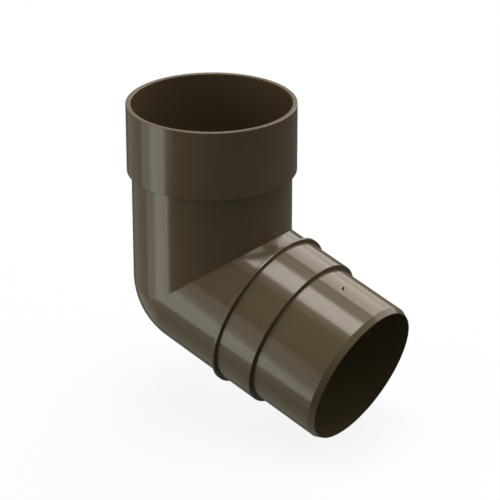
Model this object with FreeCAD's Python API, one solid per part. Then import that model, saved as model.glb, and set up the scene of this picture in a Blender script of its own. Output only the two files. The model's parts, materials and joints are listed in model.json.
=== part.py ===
# Downspout elbow for an 80 millimetre plastic rainwater pipe.
# It is one moulded piece that turns the water from an upright pipe into a sloping branch.
# From the top down it has a socket that takes the pipe above, a stop for the pipe's end,
# a short neck, a mitred bend with a ball-shaped heel, and a branch that carries a ridge,
# a plain band and a thinner, chamfered spigot that goes into the pipe below.
# Lengths are in millimetres and angles in degrees.
# The origin is on the socket's axis at the pipe stop, +Z points out of the socket's mouth,
# and the branch leaves towards +X.

import FreeCAD, Part
import math
import os

# Pipe that the elbow joins
pipe_diameter = 80.0
pipe_wall = 1.6

# Socket at the top
socket_clearance = 0.3
socket_wall = 2.5
socket_depth = 33.0
socket_lower_land = 2.4
rim_rounding = 0.4

# Neck, bend and branch
body_margin = 0.4
body_wall = 2.4
neck_length = 57.0
bend_angle = 72.0

# Ridge round the branch
ridge_place = 38.2
ridge_height = 1.9
ridge_ramp_length = 1.1
ridge_land = 1.3

# Plain band between the ridge and the spigot
band_length = 21.8

# Spigot at the lower end
spigot_clearance = 0.3
spigot_wall = 1.75
spigot_length = 39.2
chamfer_length = 3.1
chamfer_depth = 1.4
bore_taper_length = 6.0

# Small sunk mark on the top line of the spigot, turned from the line across it
mark_place = 13.8
mark_length = 3.8
mark_width = 1.0
mark_depth = 1.1
mark_turn = 30.0

# Small flat that breaks the edges of the steps and of the pipe stop
edge_break = 0.15

# Sizes that follow from those above
socket_bore_radius = pipe_diameter / 2 + socket_clearance
socket_radius = socket_bore_radius + socket_wall
body_radius = pipe_diameter / 2 + body_margin
body_bore_radius = body_radius - body_wall
ridge_radius = body_radius + ridge_height
spigot_radius = pipe_diameter / 2 - pipe_wall - spigot_clearance
spigot_bore_radius = spigot_radius - spigot_wall
step_place = ridge_place + band_length
branch_length = step_place + spigot_length
bend_centre = FreeCAD.Vector(0, 0, -socket_lower_land - neck_length)
branch_turn = 180.0 - bend_angle

up_axis = FreeCAD.Vector(0, 0, 1)
cross_axis = FreeCAD.Vector(0, 1, 0)


def corner_arc(before, corner, after, rounding):
    """Start, middle and end of the arc that rounds the corner between two straight edges."""
    back = (before - corner).normalize()
    ahead = (after - corner).normalize()
    half_angle = back.getAngle(ahead) / 2
    inset = rounding / math.tan(half_angle)
    to_middle = rounding / math.sin(half_angle) - rounding
    bisector = (back + ahead).normalize()
    return corner + back * inset, corner + bisector * to_middle, corner + ahead * inset


def rounded_wire(corners):
    """Closed wire in the plane y = 0 through corners given as (radius, height, rounding)."""
    points = [FreeCAD.Vector(radius, 0, height) for radius, height, rounding in corners]
    arcs = []
    for index, (radius, height, rounding) in enumerate(corners):
        before = points[index - 1]
        after = points[(index + 1) % len(points)]
        arcs.append(corner_arc(before, points[index], after, rounding))
    edges = []
    for index, (start, middle, end) in enumerate(arcs):
        edges.append(Part.makeLine(arcs[index - 1][2], start))
        if corners[index][2] > 0:
            edges.append(Part.Arc(start, middle, end).toShape())
    return Part.Wire(edges)


def turned_tube(corners):
    """Tube turned about the Z axis from the section of its wall."""
    section = Part.Face(rounded_wire(corners))
    return section.revolve(FreeCAD.Vector(0, 0, 0), up_axis, 360)


def neck_tube():
    """Socket, pipe stop and neck, with its foot at the level of the bend's centre."""
    rim_height = socket_depth
    step_height = -socket_lower_land
    foot_height = bend_centre.z
    return turned_tube([
        (body_bore_radius, foot_height, 0),
        (body_radius, foot_height, 0),
        (body_radius, step_height, 0),
        (socket_radius - edge_break, step_height, 0),
        (socket_radius, step_height + edge_break, 0),
        (socket_radius, rim_height, rim_rounding),
        (socket_bore_radius, rim_height, rim_rounding),
        (socket_bore_radius, 0, 0),
        (body_bore_radius + edge_break, 0, 0),
        (body_bore_radius, -edge_break, 0),
    ])


def branch_tube():
    """Branch with ridge, band, spigot and chamfer, turned about its axis and swung into place.

    The bore tapers under the band, so that the wall keeps its thickness round the step."""
    taper_end = step_place - spigot_wall
    taper_start = taper_end - bore_taper_length
    chamfer_start = branch_length - chamfer_length
    tube = turned_tube([
        (body_bore_radius, 0, 0),
        (body_radius, 0, 0),
        (body_radius, ridge_place - ridge_land - ridge_ramp_length, 0),
        (ridge_radius, ridge_place - ridge_land, 0),
        (ridge_radius, ridge_place, 0),
        (body_radius, ridge_place, 0),
        (body_radius, step_place - edge_break, 0),
        (body_radius - edge_break, step_place, 0),
        (spigot_radius, step_place, 0),
        (spigot_radius, chamfer_start, 0),
        (spigot_radius - chamfer_depth, branch_length, 0),
        (spigot_bore_radius, branch_length, 0),
        (spigot_bore_radius, taper_end, 0),
        (body_bore_radius, taper_start, 0),
    ])
    tube.rotate(FreeCAD.Vector(0, 0, 0), cross_axis, branch_turn)
    tube.translate(bend_centre)
    return tube


def heel_shell():
    """Ball-shaped heel: half of the wall's ring, turned about the bend's cross axis."""
    outer = Part.Arc(
        FreeCAD.Vector(0, -body_radius, 0),
        FreeCAD.Vector(-body_radius, 0, 0),
        FreeCAD.Vector(0, body_radius, 0),
    ).toShape()
    inner = Part.Arc(
        FreeCAD.Vector(0, body_bore_radius, 0),
        FreeCAD.Vector(-body_bore_radius, 0, 0),
        FreeCAD.Vector(0, -body_bore_radius, 0),
    ).toShape()
    far_end = Part.makeLine(
        FreeCAD.Vector(0, body_radius, 0), FreeCAD.Vector(0, body_bore_radius, 0)
    )
    near_end = Part.makeLine(
        FreeCAD.Vector(0, -body_bore_radius, 0), FreeCAD.Vector(0, -body_radius, 0)
    )
    half_ring = Part.Face(Part.Wire([outer, far_end, inner, near_end]))
    shell = half_ring.revolve(FreeCAD.Vector(0, 0, 0), cross_axis, -bend_angle)
    shell.translate(bend_centre)
    return shell


def mitre_block(side):
    """Block with one face on the mitre plane; side is +1 for above the plane, -1 for below."""
    reach = 2 * (socket_radius + ridge_height + neck_length + socket_depth + branch_length)
    lowest = 0 if side > 0 else -reach
    corner = FreeCAD.Vector(-reach / 2, -reach / 2, lowest)
    block = Part.makeBox(reach, reach, reach, corner)
    block.rotate(FreeCAD.Vector(0, 0, 0), cross_axis, -bend_angle / 2)
    block.translate(bend_centre)
    return block


def sunk_mark():
    """Plug for the mark: a slot with round ends that lies aslant on the spigot's top line."""
    half_straight = (mark_length - mark_width) / 2
    half_width = mark_width / 2
    floor_radius = spigot_radius - mark_depth
    place = step_place + mark_place

    def at(across, along):
        return FreeCAD.Vector(-floor_radius, across, place + along)

    outline = Part.Wire([
        Part.makeLine(at(-half_straight, -half_width), at(half_straight, -half_width)),
        Part.Arc(
            at(half_straight, -half_width),
            at(half_straight + half_width, 0),
            at(half_straight, half_width),
        ).toShape(),
        Part.makeLine(at(half_straight, half_width), at(-half_straight, half_width)),
        Part.Arc(
            at(-half_straight, half_width),
            at(-half_straight - half_width, 0),
            at(-half_straight, -half_width),
        ).toShape(),
    ])
    plug = Part.Face(outline).extrude(FreeCAD.Vector(-2 * mark_depth, 0, 0))
    plug.rotate(FreeCAD.Vector(0, 0, place), FreeCAD.Vector(1, 0, 0), -mark_turn)
    plug.rotate(FreeCAD.Vector(0, 0, 0), cross_axis, branch_turn)
    plug.translate(bend_centre)
    return plug


def elbow():
    """Neck and branch cut off along the mitre, joined to each other and to the heel."""
    neck = neck_tube().cut(mitre_block(-1))
    branch = branch_tube().cut(mitre_block(1))
    body = neck.fuse([branch, heel_shell()]).removeSplitter()
    body = body.cut(sunk_mark())
    return body.Solids[0]


def main():
    os.makedirs("parts", exist_ok=True)
    body = elbow()
    body.exportStep("parts/elbow.step")
    box = body.BoundBox
    print("elbow valid", body.isValid(), "faces", len(body.Faces), "volume", round(body.Volume))
    print("x %.2f to %.2f" % (box.XMin, box.XMax))
    print("y %.2f to %.2f" % (box.YMin, box.YMax))
    print("z %.2f to %.2f" % (box.ZMin, box.ZMax))


main()
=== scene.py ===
import json
import math

import bpy
import numpy as np
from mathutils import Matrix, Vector


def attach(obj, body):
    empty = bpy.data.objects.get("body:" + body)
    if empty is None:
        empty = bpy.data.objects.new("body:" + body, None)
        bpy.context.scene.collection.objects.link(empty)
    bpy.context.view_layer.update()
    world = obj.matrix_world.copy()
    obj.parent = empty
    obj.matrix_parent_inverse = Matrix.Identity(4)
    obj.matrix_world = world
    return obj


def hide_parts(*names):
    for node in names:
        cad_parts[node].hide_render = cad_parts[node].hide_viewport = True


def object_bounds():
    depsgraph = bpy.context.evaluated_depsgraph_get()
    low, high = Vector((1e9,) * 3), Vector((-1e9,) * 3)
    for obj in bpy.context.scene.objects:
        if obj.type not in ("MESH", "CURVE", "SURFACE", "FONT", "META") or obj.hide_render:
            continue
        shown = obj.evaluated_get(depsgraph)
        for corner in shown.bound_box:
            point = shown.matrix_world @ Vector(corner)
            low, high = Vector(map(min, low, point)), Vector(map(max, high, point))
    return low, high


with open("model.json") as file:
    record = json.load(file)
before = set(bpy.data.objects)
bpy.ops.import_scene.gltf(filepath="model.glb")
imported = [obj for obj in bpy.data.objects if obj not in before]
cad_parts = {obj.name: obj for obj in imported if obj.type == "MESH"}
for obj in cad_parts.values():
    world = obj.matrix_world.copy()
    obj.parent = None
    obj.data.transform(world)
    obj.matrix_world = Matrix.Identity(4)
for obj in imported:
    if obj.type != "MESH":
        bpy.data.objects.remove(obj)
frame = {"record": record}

cad_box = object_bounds()

bl_info = {
    "name": "Downspout elbow",
    "version": (1, 0, 0),
    "blender": (4, 5, 0),
    "location": "3D View > Sidebar > Elbow",
    "description": "Builds a moulded rainwater elbow and the studio round it",
    "category": "Object",
}

MILLIMETRE = 0.001
MOUNTS = {mount["name"]: mount for mount in frame["record"]["mounts"]}


def mount_radius(name):
    """Radius of a mount of the frame, in metres."""
    return MOUNTS[name]["dims"]["r_mm"] * MILLIMETRE


def length(name, description, default):
    """Property for a length in metres, shown to the hundredth of a millimetre."""
    return bpy.props.FloatProperty(
        name=name, description=description, default=default, min=0.0,
        precision=5, unit="LENGTH",
    )


def colour(name, description, default):
    """Property for a colour, written as linear red, green and blue."""
    return bpy.props.FloatVectorProperty(
        name=name, description=description, default=default, size=3,
        min=0.0, max=1.0, subtype="COLOR",
    )


# Sizes and finishes that a user would change

class ElbowSizes(bpy.types.PropertyGroup):
    """Sizes of the elbow.

    Heights are along the socket's axis, from the pipe stop upwards. Places are along
    the branch's axis, from the bend's centre outwards."""
    socket_bore: length(
        "Socket bore", "Radius of the socket's bore", mount_radius("socket_bore")
    )
    socket_radius: length("Socket radius", "Outside radius of the socket", 0.0428)
    rim_height: length("Rim height", "Height of the rim over the pipe stop", 0.0330)
    socket_land: length(
        "Socket land", "Depth of the socket's foot below the pipe stop", 0.0024
    )
    body_radius: length(
        "Body radius", "Outside radius of neck, heel and branch", 0.0404
    )
    body_bore: length(
        "Body bore", "Radius of the water's way in neck and branch", 0.0380
    )
    bend_depth: length(
        "Bend depth", "Depth of the bend's centre below the pipe stop", 0.0594
    )
    bend_angle: bpy.props.FloatProperty(
        name="Bend angle", description="Angle that the water's way turns through",
        default=math.radians(72.0), subtype="ANGLE", unit="ROTATION",
    )
    ridge_place: length("Ridge place", "Place of the ridge's square face", 0.0382)
    ridge_radius: length("Ridge radius", "Outside radius of the ridge's crest", 0.0423)
    ridge_land: length("Ridge land", "Width of the flat on the ridge's crest", 0.0013)
    ridge_ramp: length("Ridge ramp", "Length of the ridge's sloping side", 0.0011)
    step_place: length("Step place", "Place of the step down to the spigot", 0.0600)
    spigot_radius: length(
        "Spigot radius", "Outside radius of the spigot", mount_radius("spigot_outside")
    )
    spigot_bore: length("Spigot bore", "Radius of the spigot's bore", 0.03635)
    branch_length: length("Branch length", "Place of the spigot's end", 0.0992)
    chamfer_length: length("Chamfer length", "Length of the spigot's chamfer", 0.0031)
    chamfer_depth: length("Chamfer depth", "Depth of the spigot's chamfer", 0.0014)
    taper_end: length("Taper end", "Place where the bore's taper ends", 0.05825)
    taper_length: length("Taper length", "Length of the bore's taper", 0.0060)
    mark_place: length("Mark place", "Place of the sunk mark on the top line", 0.0738)
    mark_length: length("Mark length", "Length of the sunk mark", 0.0038)
    mark_width: length("Mark width", "Width of the sunk mark", 0.0010)
    mark_depth: length("Mark depth", "Depth of the sunk mark", 0.0011)
    mark_turn: bpy.props.FloatProperty(
        name="Mark turn",
        description="Angle between the mark and the line across the spigot",
        default=math.radians(30.0), subtype="ANGLE", unit="ROTATION",
    )
    rim_rounding: length("Rim rounding", "Rounding of the rim's two edges", 0.0004)
    foot_rounding: length(
        "Foot rounding", "Rounding of the edge of the socket's foot", 0.0003
    )
    edge_rounding: length("Edge rounding", "Rounding of the other edges", 0.00012)
    root_rounding: length(
        "Root rounding", "Rounding at the roots of the steps", 0.00005
    )
    crease_rounding: length(
        "Crease rounding", "Rounding in the crease of the mitre", 0.0002
    )


class ElbowFinish(bpy.types.PropertyGroup):
    """Colours and gloss of the plastic."""
    light_brown: colour(
        "Light brown", "Lighter tone of the plastic", (0.1210, 0.0910, 0.0500)
    )
    dark_brown: colour(
        "Dark brown", "Darker tone of the plastic", (0.1080, 0.0815, 0.0448)
    )
    roughness: bpy.props.FloatProperty(
        name="Roughness", description="Roughness of the moulded skin",
        default=0.16, min=0.0, max=1.0, subtype="FACTOR",
    )
    ripple: length("Ripple", "Height of the moulded skin's ripples", 0.000012)


class ElbowStudio(bpy.types.PropertyGroup):
    """Floor, lamps and camera that the elbow is shown with."""
    floor_gap: length("Floor gap", "Height of the elbow over the floor", 0.0002)
    lens: bpy.props.FloatProperty(
        name="Lens", description="Focal length on a 36 mm sensor",
        default=176.894, subtype="DISTANCE_CAMERA",
    )
    ambient: bpy.props.FloatProperty(
        name="Ambient", description="Strength of the even light from all round",
        default=0.123, min=0.0, max=1.0, subtype="FACTOR",
    )


# Surfaces worked out as grids of points

COLUMNS = 288             # lines round the tube
PITCH = 0.006             # length of a step along straight runs of a section
ARC_STEP = 0.26           # about the angle between points of a rounded corner
BEND_STEPS = 28           # steps of each line's turn
NECK_STEPS = 9            # steps of the skin down the neck
BRANCH_STEPS = 6          # steps of the skin along the branch
SUPPORT = 0.00012         # distance from an edge to the row that holds its shading
CREASE_FADE = 0.2         # cosine from which the crease has its whole rounding
LIP_OUTSIDE = 0.6         # rounding of the lip's outer edge, as a share of the others
LIP_INSIDE = 0.4          # rounding of the lip's inner edge, as a share of the others
MARK_SOFTNESS = 0.5       # rounding of the mark's edges, as a share of the others
ARC_MIDDLE = 0.3          # about 1 - cos 45 degrees, for an arc drawn with three points
PATCH_REACH = 1.7         # half the patch's length, in widths of the mark
PATCH_ROWS = 6            # rows of faces that the mark's patch takes the place of
PATCH_HALF = 3            # columns of such faces on each side of the top line
SHARP_ANGLE = math.radians(35.0)
WELD_DIGITS = 8           # decimal places, in metres, to which welded points agree


def corner_arc(before, corner, after, rounding):
    """Points that round a corner of a section.

    They lie at equal angles on the circle that touches both edges. Its centre is on the
    bisector, at rounding / sin(half the corner's angle). A rounding of 0 gives the
    corner itself."""
    if rounding == 0:
        return corner[None, :]
    back = (before - corner) / np.linalg.norm(before - corner)
    ahead = (after - corner) / np.linalg.norm(after - corner)
    half = math.acos(float(np.clip(back @ ahead, -1, 1))) / 2
    bisector = (back + ahead) / np.linalg.norm(back + ahead)
    centre = corner + bisector * rounding / math.sin(half)
    sweep = math.pi / 2 - half
    count = max(3, round(2 * sweep / ARC_STEP))
    angles = np.linspace(-sweep, sweep, count)[:, None]
    across = ahead - bisector * (ahead @ bisector)
    across = across / np.linalg.norm(across)
    return centre + rounding * (np.sin(angles) * across - np.cos(angles) * bisector)


def straight_run(start, end, steps):
    """Points between two ends, without the ends themselves.

    They are evenly spaced, with one more close to each end to hold the shading. A run
    too short for those has none."""
    size = np.linalg.norm(end - start)
    if size < 4 * SUPPORT:
        return np.empty((0, 2))
    near = SUPPORT / size
    share = np.concatenate([[near], np.linspace(0, 1, steps + 1)[1:-1], [1 - near]])
    return start + share[:, None] * (end - start)


def section_line(corners):
    """Line of (radius, along) points through corners of (radius, along, rounding).

    Each inner corner becomes its arc, and straight runs join the arcs. The two end
    corners only give the line its first and last directions."""
    points = np.array([corner[:2] for corner in corners])
    arcs = [
        corner_arc(points[i - 1], points[i], points[i + 1], corners[i][2])
        for i in range(1, len(corners) - 1)
    ]
    line = [arcs[0]]
    for previous, arc in zip(arcs, arcs[1:]):
        gap = np.linalg.norm(arc[0] - previous[-1])
        line.append(straight_run(previous[-1], arc[0], max(1, round(gap / PITCH))))
        line.append(arc)
    return np.concatenate(line)


class Bend:
    """Directions of the two tubes, and the surfaces turned about them or carried along.

    Angle 0 is the inner side of the bend, where neck and branch meet in the crease."""

    def __init__(self, sizes):
        self.turn = sizes.bend_angle
        self.centre = np.array([0.0, 0.0, -sizes.bend_depth])
        self.branch = np.array([math.sin(self.turn), 0.0, -math.cos(self.turn)])
        self.angles = -math.pi + 2 * math.pi * np.arange(COLUMNS) / COLUMNS
        self.cosine = np.cos(self.angles)
        self.cosine[np.abs(self.cosine) < 1e-9] = 0.0
        self.sine = np.sin(self.angles)
        self.crease = sizes.crease_rounding

    def on_neck(self, radius, height):
        """Points at a radius and height: (radius cos a, radius sin a, height)."""
        return np.stack(np.broadcast_arrays(
            radius * self.cosine, radius * self.sine, height
        ), -1)

    def branch_radial(self, cosine, sine):
        """Unit vectors square to the branch: cos a on its top line, sin a along +Y."""
        return np.stack([
            cosine * math.cos(self.turn), sine, cosine * math.sin(self.turn)
        ], -1)

    def on_branch(self, radius, place):
        """Points at a radius and place: centre + place * axis + radius * radial."""
        radial = self.branch_radial(self.cosine, self.sine)
        place, radius = np.broadcast_arrays(place, radius)
        return self.centre + place[..., None] * self.branch + radius[..., None] * radial

    def turn_radius(self, radius):
        """Radius of the turn along each line of the tube.

        On the heel's side it is radius * |cos a|, which makes the ball. On the inner
        side it is the crease's small rounding, which fades out to the side lines."""
        fade = np.clip(self.cosine / CREASE_FADE, 0, 1)
        return np.where(self.cosine < 0, -radius * self.cosine, self.crease * fade)

    def turned(self, radius):
        """The turn itself: each line's arc from the neck's direction to the branch's.

        Its centre lies on the mitre's direction from the corner, at turn radius /
        cos(half the turn). Its points are centre - turn radius * (cos t, 0, sin t)."""
        turn_radius = self.turn_radius(radius)
        half = self.turn / 2
        mitre = np.array([math.cos(half), 0.0, math.sin(half)])
        corner = self.on_neck(radius, radius * self.cosine * math.tan(half))
        centre = corner + self.centre + mitre * (turn_radius / math.cos(half))[:, None]
        angle = np.linspace(0, self.turn, BEND_STEPS + 1)[:, None]
        arm = np.stack([np.cos(angle), 0 * angle, np.sin(angle)], -1)
        return centre[None] - turn_radius[None, :, None] * arm

    def skin(self, radius, height, place):
        """Skin of one radius, from a height on the neck to a place on the branch.

        Each line of the tube turns from turn radius * tan(half the turn) before the
        mitre plane to as far after it."""
        tangent = self.turn_radius(radius) * math.tan(self.turn / 2)
        slope = radius * self.cosine * math.tan(self.turn / 2)
        foot = self.centre[2] + slope + tangent
        root = slope + tangent
        share = np.linspace(0, 1, NECK_STEPS + 1)[1:, None]
        heights = height + share * (foot - height)
        heights = np.concatenate([
            np.full((1, COLUMNS), height - SUPPORT), heights[:-1],
            foot[None] + 3 * SUPPORT,
        ])
        share = np.linspace(0, 1, BRANCH_STEPS + 1)[:-1, None]
        places = root + share * (place - root)
        places = np.concatenate([
            root[None] + 3 * SUPPORT, places[1:],
            np.full((1, COLUMNS), place - SUPPORT),
        ])
        return np.concatenate([
            self.on_neck(radius, heights), self.turned(radius),
            self.on_branch(radius, places),
        ])


def socket_line(s):
    """Section from the pipe stop up the bore, over the rim and down to the neck."""
    foot = -s.socket_land
    return section_line([
        (s.body_bore, 0.0, 0),
        (s.socket_bore, 0.0, 0),
        (s.socket_bore, s.rim_height, s.rim_rounding),
        (s.socket_radius, s.rim_height, s.rim_rounding),
        (s.socket_radius, foot, s.foot_rounding),
        (s.body_radius, foot, s.root_rounding),
        (s.body_radius, -s.bend_depth, 0),
    ])


def ridge_line(s):
    """Section of the branch's outside over the ridge, the band and the step."""
    crest_start = s.ridge_place - s.ridge_land
    return section_line([
        (s.body_radius, 0.0, 0),
        (s.body_radius, crest_start - s.ridge_ramp, s.root_rounding),
        (s.ridge_radius, crest_start, s.edge_rounding),
        (s.ridge_radius, s.ridge_place, s.edge_rounding),
        (s.body_radius, s.ridge_place, s.root_rounding),
        (s.body_radius, s.step_place, s.edge_rounding),
        (s.spigot_radius, s.step_place, s.root_rounding),
        (s.spigot_radius, s.mark_place, 0),
    ])


def mark_line(s):
    """Straight part of the spigot's section that the mark's patch covers."""
    reach = PATCH_REACH * s.mark_width
    start = np.array([s.spigot_radius, s.mark_place - reach])
    end = np.array([s.spigot_radius, s.mark_place + reach])
    return np.linspace(start, end, PATCH_ROWS + 1)


def lip_line(s):
    """Section over the chamfer and the lip, and back through the bore's taper."""
    edge = s.edge_rounding
    return section_line([
        (s.spigot_radius, s.mark_place, 0),
        (s.spigot_radius, s.branch_length - s.chamfer_length, edge),
        (s.spigot_radius - s.chamfer_depth, s.branch_length, LIP_OUTSIDE * edge),
        (s.spigot_bore, s.branch_length, LIP_INSIDE * edge),
        (s.spigot_bore, s.taper_end, edge),
        (s.body_bore, s.taper_end - s.taper_length, edge),
        (s.body_bore, 0.0, 0),
    ])


def stop_line(s):
    """Section from the neck's bore over the pipe stop's edge to the socket's bore."""
    line = section_line([
        (s.body_bore, -s.bend_depth, 0),
        (s.body_bore, 0.0, s.edge_rounding),
        (s.socket_bore, 0.0, 0),
    ])
    corner = np.array([s.socket_bore, 0.0])
    return np.concatenate([line, straight_run(line[-1], corner, steps=2)])


def as_columns(*lines):
    """Radii and places of the points of lines in a row, each as one column."""
    line = np.concatenate(lines)
    return line[:, :1], line[:, 1:]


def elbow_grid(sizes, bend):
    """Closed grid of points: rows follow the wall's section all the way round, columns
    go round the tube. Returns it with the first and last row of the mark's patch."""
    socket, stop = socket_line(sizes), stop_line(sizes)
    ridge, mark, lip = ridge_line(sizes), mark_line(sizes), lip_line(sizes)
    before_mark = straight_run(ridge[-1], mark[0], steps=3)
    after_mark = straight_run(mark[-1], lip[0], steps=4)
    parts = [
        bend.on_neck(*as_columns(socket)),
        bend.skin(sizes.body_radius, socket[-1, 1], ridge[0, 1]),
        bend.on_branch(*as_columns(ridge, before_mark)),
        bend.on_branch(*as_columns(mark, after_mark, lip)),
        bend.skin(sizes.body_bore, stop[0, 1], lip[-1, 1])[::-1],
        bend.on_neck(*as_columns(stop)),
    ]
    first = sum(len(part) for part in parts[:3])
    return np.concatenate(parts), (first, first + PATCH_ROWS)


def slot_outline(direction, half_length, half_width):
    """Where rays from the middle of a slot with round ends meet its edge, and the
    edge's outward directions there.

    A ray meets the straight side at y = half width, or else the circle about the end's
    centre, from the quadratic for its distance."""
    x, y = np.abs(direction[:, 0]), np.abs(direction[:, 1])
    straight = half_length - half_width
    to_side = half_width / np.maximum(y, 1e-9)
    along = x * straight
    root = along ** 2 - straight ** 2 + half_width ** 2
    to_end = along + np.sqrt(np.maximum(root, 0))
    on_side = to_side * x <= straight
    edge = direction * np.where(on_side, to_side, to_end)[:, None]
    middle = np.stack([np.clip(edge[:, 0], -straight, straight), 0 * y], -1)
    away = edge - middle
    return edge, away / np.linalg.norm(away, axis=1)[:, None]


def patch_border(sizes, rows, columns):
    """Border of the mark's patch, once round it, as distances across and along from the
    mark's middle. Across is angle * radius."""
    place = np.concatenate([
        np.full(len(columns), rows[0]), rows[1:-1],
        np.full(len(columns), rows[-1]), rows[-2:0:-1],
    ]) - sizes.mark_place
    angle = np.concatenate([
        columns, np.full(len(rows) - 2, columns[-1]),
        columns[::-1], np.full(len(rows) - 2, columns[0]),
    ])
    return np.stack([angle * sizes.spigot_radius, place], -1)


def mark_patch(sizes, bend, rows, columns):
    """Patch of the spigot with the sunk mark: rings that run from the patch's border to
    the slot's rounded edge, down its wall and over its floor to one point."""
    border = patch_border(sizes, rows, columns)
    direction = border / np.linalg.norm(border, axis=1)[:, None]
    cosine, sine = math.cos(sizes.mark_turn), math.sin(sizes.mark_turn)
    to_slot = np.array([[cosine, sine], [-sine, cosine]])
    edge, away = (part @ to_slot.T for part in slot_outline(
        direction @ to_slot, sizes.mark_length / 2, sizes.mark_width / 2
    ))
    soft = MARK_SOFTNESS * sizes.edge_rounding
    floor = sizes.mark_depth
    rings = [
        (border, 0.0),
        ((border + edge + soft * away) / 2, 0.0),
        (edge + soft * away, 0.0),
        (edge + ARC_MIDDLE * soft * away, ARC_MIDDLE * soft),
        (edge, soft),
        (edge, floor - soft),
        (edge - ARC_MIDDLE * soft * away, floor - ARC_MIDDLE * soft),
        (edge - soft * away, floor),
        (0.5 * edge, floor),
        (0.0 * edge, floor),
    ]
    flat = np.stack([ring for ring, depth in rings])
    depth = np.array([depth for ring, depth in rings])[:, None]
    turn = flat[..., 0] / sizes.spigot_radius
    radial = bend.branch_radial(np.cos(turn), np.sin(turn))
    along = (sizes.mark_place + flat[..., 1])[..., None] * bend.branch
    return bend.centre + along + (sizes.spigot_radius - depth)[..., None] * radial


def grid_faces(rows, columns, closed_rows):
    """Four-sided faces of a grid. Its columns close on themselves, and so do its rows
    if asked."""
    last = rows if closed_rows else rows - 1
    row, column = np.meshgrid(np.arange(last), np.arange(columns), indexing="ij")
    below = (row + 1) % rows
    beside = (column + 1) % columns
    return np.stack([
        row * columns + column, row * columns + beside,
        below * columns + beside, below * columns + column,
    ], -1)


def welded(points, faces):
    """Points that share a place become one, and faces drop corners that they repeat."""
    _, first, index = np.unique(
        np.round(points, WELD_DIGITS), axis=0, return_index=True, return_inverse=True
    )
    faces = index.reshape(-1)[faces]
    repeats = faces == np.roll(faces, -1, axis=1)
    whole = faces[repeats.sum(axis=1) == 0]
    pinched = repeats.sum(axis=1) == 1
    drop = np.argmax(repeats[pinched], axis=1)
    keep = (drop[:, None] + np.arange(1, 4)) % 4
    triangles = np.take_along_axis(faces[pinched], keep, axis=1)
    return points[first], whole.tolist() + triangles.tolist()


def turned_outwards(points, faces):
    """Faces turned so that the closed surface holds a positive volume."""
    corners = np.array([face[:3] for face in faces])
    a, b, c = (points[corners[:, i]] for i in range(3))
    volume = np.einsum("ij,ij->i", a, np.cross(b, c)).sum()
    return faces if volume > 0 else [face[::-1] for face in faces]


def elbow_surface(sizes):
    """Points and faces of the elbow: the closed grid, with the mark's patch in place of
    the faces that it covers."""
    bend = Bend(sizes)
    grid, (first, last) = elbow_grid(sizes, bend)
    rows, columns = grid.shape[:2]
    top = columns // 2
    near, far = top - PATCH_HALF, top + PATCH_HALF
    keep = np.ones((rows, columns), dtype=bool)
    keep[first:last, near:far] = False
    faces = grid_faces(rows, columns, True)[keep]
    places = (grid[first:last + 1, top] - bend.centre) @ bend.branch
    patch = mark_patch(sizes, bend, places, bend.angles[near:far + 1])
    patch_faces = grid_faces(*patch.shape[:2], False).reshape(-1, 4)
    points = np.concatenate([grid.reshape(-1, 3), patch.reshape(-1, 3)])
    faces = np.concatenate([faces, patch_faces + rows * columns])
    points, faces = welded(points, faces)
    return points, turned_outwards(points, faces)


def new_piece(name, points, faces, material):
    """Mesh object at the origin, smooth but for the edges where it turns sharply."""
    mesh = bpy.data.meshes.new(name)
    mesh.from_pydata(points, [], faces)
    mesh.validate()
    mesh.polygons.foreach_set("use_smooth", np.ones(len(mesh.polygons), dtype=bool))
    mesh.set_sharp_from_angle(angle=SHARP_ANGLE)
    mesh.update()
    mesh.materials.append(material)
    piece = bpy.data.objects.new(name, mesh)
    bpy.context.scene.collection.objects.link(piece)
    return piece


# Shader nodes written as arithmetic

class Shade:
    """A node socket that takes part in arithmetic: each operator adds its Math node."""

    def __init__(self, nodes, socket):
        self.nodes = nodes
        self.socket = socket

    def math(self, operation, first, second):
        return self.nodes.add(
            "ShaderNodeMath", {"operation": operation}, {0: first, 1: second}
        )

    def __add__(self, other):
        return self.math("ADD", self, other)

    def __radd__(self, other):
        return self.math("ADD", other, self)

    def __sub__(self, other):
        return self.math("SUBTRACT", self, other)

    def __rsub__(self, other):
        return self.math("SUBTRACT", other, self)

    def __mul__(self, other):
        return self.math("MULTIPLY", self, other)

    def __rmul__(self, other):
        return self.math("MULTIPLY", other, self)


class Nodes:
    """The nodes of one material or world."""

    def __init__(self, owner):
        owner.use_nodes = True
        self.tree = owner.node_tree
        self.tree.nodes.clear()

    def add(self, kind, settings, values, output=0):
        """New node of a type, with its settings made first and then the values or links
        of its sockets."""
        node = self.tree.nodes.new(kind)
        for name, setting in settings.items():
            setattr(node, name, setting)
        for name, value in values.items():
            if isinstance(value, Shade):
                self.tree.links.new(value.socket, node.inputs[name])
            else:
                node.inputs[name].default_value = value
        return Shade(self, node.outputs[output]) if node.outputs else node

    def noise(self, place, scale, detail=2.0, roughness=0.5):
        """Noise from 0 to 1 with the given number of cells per metre."""
        return self.add("ShaderNodeTexNoise", {}, {
            "Vector": place, "Scale": scale, "Detail": detail, "Roughness": roughness,
        })

    def levels(self, value, low, high):
        """Value spread from 0 at low to 1 at high, and held there beyond them."""
        return self.add("ShaderNodeMapRange", {"clamp": True}, {
            "Value": value, "From Min": low, "From Max": high,
            "To Min": 0.0, "To Max": 1.0,
        })

    def mix(self, share, first, second):
        """Colour between two colours. The node's colours are at 6 and 7, and its mixed
        colour is output 2."""
        return self.add("ShaderNodeMix", {"data_type": "RGBA"}, {
            0: share, 6: first, 7: second,
        }, output=2)

    def mix_shader(self, share, first, second):
        """Shader between two shaders."""
        return self.add("ShaderNodeMixShader", {}, {0: share, 1: first, 2: second})

    def ray(self, kind):
        """1 for the named kind of ray and 0 for the others."""
        return self.add("ShaderNodeLightPath", {}, {}, output=kind)


def opaque(linear):
    """Colour with an alpha of 1."""
    return (*linear, 1.0)


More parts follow.
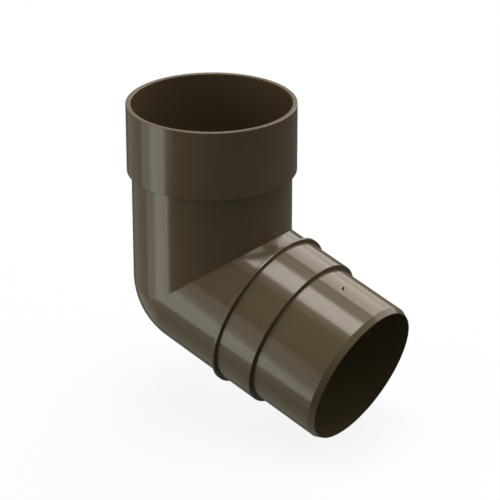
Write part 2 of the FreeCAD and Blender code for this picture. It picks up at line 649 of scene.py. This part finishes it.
# Patterns in the plastic, in cells per metre
CLOUDS = 34.0
SMUDGES = 75.0
WAVES = 260.0
RIPPLES = 900.0
GRAIN = 2600.0


def pvc_material(finish):
    """Glossy brown plastic.

    Its tone is 0.8 of the soft clouds and 0.4 of the grain, less 0.1, and goes from
    the dark brown to the light one. Smudges and grain vary the gloss, and the 0.04 that
    they add on average is taken off again. Seven parts of waves and three of ripples
    raise the skin, and bend the reflections slightly."""
    material = bpy.data.materials.new("pvc_gloss")
    n = Nodes(material)
    place = n.add("ShaderNodeTexCoord", {}, {}, output="Object")
    clouds = n.levels(n.noise(place, CLOUDS, 3.0), 0.3, 0.7)
    grain = n.noise(place, GRAIN, 1.0)
    smudges = n.levels(n.noise(place, SMUDGES, 4.0, 0.6), 0.35, 0.75)
    tone = clouds * 0.8 + grain * 0.4 - 0.1
    base = n.mix(tone, opaque(finish.dark_brown), opaque(finish.light_brown))
    gloss = smudges * 0.05 + grain * 0.03 + (finish.roughness - 0.04)
    skin = n.noise(place, WAVES) * 0.7 + n.noise(place, RIPPLES) * 0.3
    bump = n.add("ShaderNodeBump", {}, {
        "Strength": 1.0, "Distance": finish.ripple, "Height": skin,
    })
    shader = n.add("ShaderNodeBsdfPrincipled", {}, {
        "Base Color": base, "Roughness": gloss, "IOR": 1.5, "Normal": bump,
    })
    n.add("ShaderNodeOutputMaterial", {}, {"Surface": shader})
    return material


# Studio

WHITE = (1.0, 1.0, 1.0)
PAPER = (0.86, 0.88, 0.97)
PAPER_SHARE = 0.12
FLOOR_REACH = 6.0

# Softboxes round the elbow: azimuth and elevation in degrees, width and height in
# metres, and brightness, where 1 is that of white paper under even light. Those above
# and behind are a little pinker than the others.
BACK_LAMPS = {
    "top_softbox": (90.0, 87.8, 1.40, 0.92, 6.4),
    "top_front_band": (-90.0, 73.0, 1.34, 0.42, 0.5),
    "top_back_band": (90.0, 66.0, 1.28, 0.60, 1.0),
    "back_softbox": (106.0, 37.5, 0.90, 1.12, 2.85),
    "back_low_card": (98.0, 12.7, 1.72, 0.65, 1.5),
    "back_right_card": (72.0, 37.0, 1.22, 1.35, 1.7),
    "rim_card": (131.0, 25.0, 0.56, 0.63, 0.55),
}
FRONT_LAMPS = {
    "left_softbox_low": (-129.5, -15.5, 0.78, 1.06, 2.05),
    "left_softbox_glow": (-130.0, -21.0, 1.10, 1.45, 0.2),
    "left_softbox_high": (-131.5, 17.0, 0.99, 1.38, 1.8),
    "left_side_card": (-150.0, -5.0, 0.58, 1.93, 0.86),
    "far_left_card": (-179.0, -18.0, 1.45, 1.95, 0.19),
    "front_left_card": (-114.0, -2.5, 0.56, 1.25, 0.78),
    "front_card": (-82.0, 41.0, 3.30, 1.54, 0.10),
    "right_card": (8.0, 26.0, 3.30, 2.70, 0.27),
    "under_card": (-159.0, -58.0, 2.50, 2.00, 0.16),
}
LAMP_DISTANCE = 2.0
BACK_TINT = (1.0, 0.950, 0.880)
FRONT_TINT = (1.0, 0.983, 0.885)
AIM = Vector((0.02, 0.0, -0.06))
CAMERA_PLACE = (0.713995, -0.891467, 0.465751)
CAMERA_ELEVATION = math.radians(24.2056)
CAMERA_AZIMUTH = math.radians(37.7347)


def floor_material():
    """Pale floor: glowing white, with a share of matt paper that takes the shadow."""
    material = bpy.data.materials.new("studio_floor")
    n = Nodes(material)
    glow = n.add("ShaderNodeEmission", {}, {"Color": opaque(WHITE), "Strength": 1.0})
    paper = n.add("ShaderNodeBsdfDiffuse", {}, {"Color": opaque(PAPER)})
    surface = n.mix_shader(PAPER_SHARE, glow, paper)
    n.add("ShaderNodeOutputMaterial", {}, {"Surface": surface})
    return material


def studio_world(ambient):
    """World that is white behind the elbow and gives a low, even light.

    The plastic's gloss shows the dim studio, as it does in the photograph. There is no
    metal or glass here that would show the white background."""
    world = bpy.data.worlds.new("studio_world")
    n = Nodes(world)
    seen = n.ray("Is Camera Ray") + n.ray("Is Transmission Ray")
    even = n.add("ShaderNodeBackground", {}, {
        "Color": opaque(FRONT_TINT), "Strength": ambient,
    })
    white = n.add("ShaderNodeBackground", {}, {
        "Color": opaque(WHITE), "Strength": 1.0,
    })
    n.add("ShaderNodeOutputWorld", {}, {"Surface": n.mix_shader(seen, even, white)})
    return world


def add_lamp(name, tint, azimuth, elevation, width, height, brightness):
    """Rectangular lamp that faces the elbow. Its power is brightness * pi * area."""
    light = bpy.data.lights.new(name, "AREA")
    light.shape = "RECTANGLE"
    light.size = width
    light.size_y = height
    light.energy = brightness * math.pi * width * height
    light.color = tint
    lamp = bpy.data.objects.new(name, light)
    turn, rise = math.radians(azimuth), math.radians(elevation)
    away = Vector((
        math.cos(rise) * math.cos(turn), math.cos(rise) * math.sin(turn), math.sin(rise)
    ))
    lamp.location = AIM + away * LAMP_DISTANCE
    lamp.rotation_euler = away.to_track_quat("Z", "Y").to_euler()
    lamp.visible_camera = False
    bpy.context.scene.collection.objects.link(lamp)


def add_floor(level):
    """Square floor at a height. Only the camera sees it, because the low lamps stand
    below its level."""
    reach = FLOOR_REACH
    mesh = bpy.data.meshes.new("studio_floor")
    mesh.from_pydata([
        (-reach, -reach, level), (reach, -reach, level),
        (reach, reach, level), (-reach, reach, level),
    ], [], [(0, 1, 2, 3)])
    mesh.materials.append(floor_material())
    floor = bpy.data.objects.new("studio_floor", mesh)
    floor.visible_glossy = False
    floor.visible_diffuse = False
    floor.visible_transmission = False
    floor.visible_shadow = False
    bpy.context.scene.collection.objects.link(floor)


def add_camera(lens):
    """Camera at the photograph's place and angle."""
    camera = bpy.data.cameras.new("camera")
    camera.sensor_width = 36.0
    camera.lens = lens
    camera.clip_start = 0.1
    camera.clip_end = 60.0
    holder = bpy.data.objects.new("camera", camera)
    holder.location = CAMERA_PLACE
    holder.rotation_euler = (math.pi / 2 - CAMERA_ELEVATION, 0.0, CAMERA_AZIMUTH)
    bpy.context.scene.collection.objects.link(holder)
    bpy.context.scene.camera = holder


# What a user runs, and the panel that lists it

class ELBOW_OT_shell(bpy.types.Operator):
    """Builds the elbow's moulded body over the frame's plain solid"""
    bl_idname = "elbow.shell"
    bl_label = "Elbow body"

    def execute(self, context):
        points, faces = elbow_surface(context.scene.elbow_sizes)
        material = pvc_material(context.scene.elbow_finish)
        piece = new_piece("elbow_shell", points, faces, material)
        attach(piece, "root")
        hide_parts("elbow")
        return {"FINISHED"}


class ELBOW_OT_studio(bpy.types.Operator):
    """Adds the floor, the lamps, the world and the camera"""
    bl_idname = "elbow.studio"
    bl_label = "Studio"

    def execute(self, context):
        studio = context.scene.elbow_studio
        add_floor(cad_box[0][2] - studio.floor_gap)
        for tint, lamps in ((BACK_TINT, BACK_LAMPS), (FRONT_TINT, FRONT_LAMPS)):
            for name, values in lamps.items():
                add_lamp(name, tint, *values)
        context.scene.world = studio_world(studio.ambient)
        add_camera(studio.lens)
        context.scene.view_settings.view_transform = "Standard"
        return {"FINISHED"}


class ELBOW_PT_sidebar(bpy.types.Panel):
    """Panel with the elbow's operators"""
    bl_idname = "ELBOW_PT_sidebar"
    bl_label = "Downspout elbow"
    bl_space_type = "VIEW_3D"
    bl_region_type = "UI"
    bl_category = "Elbow"

    def draw(self, context):
        layout = self.layout
        scene = context.scene
        for group in (scene.elbow_sizes, scene.elbow_finish, scene.elbow_studio):
            box = layout.box()
            for name in group.bl_rna.properties.keys():
                if name not in ("rna_type", "name"):
                    box.prop(group, name)
        layout.operator(ELBOW_OT_shell.bl_idname)
        layout.operator(ELBOW_OT_studio.bl_idname)


CLASSES = (
    ElbowSizes, ElbowFinish, ElbowStudio,
    ELBOW_OT_shell, ELBOW_OT_studio, ELBOW_PT_sidebar,
)


def register():
    for item in CLASSES:
        bpy.utils.register_class(item)
    bpy.types.Scene.elbow_sizes = bpy.props.PointerProperty(type=ElbowSizes)
    bpy.types.Scene.elbow_finish = bpy.props.PointerProperty(type=ElbowFinish)
    bpy.types.Scene.elbow_studio = bpy.props.PointerProperty(type=ElbowStudio)


def unregister():
    del bpy.types.Scene.elbow_studio
    del bpy.types.Scene.elbow_finish
    del bpy.types.Scene.elbow_sizes
    for item in reversed(CLASSES):
        bpy.utils.unregister_class(item)


def main():
    """Registers the add-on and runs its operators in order."""
    register()
    bpy.ops.elbow.shell()
    bpy.ops.elbow.studio()


if __name__ == "__main__":
    main()
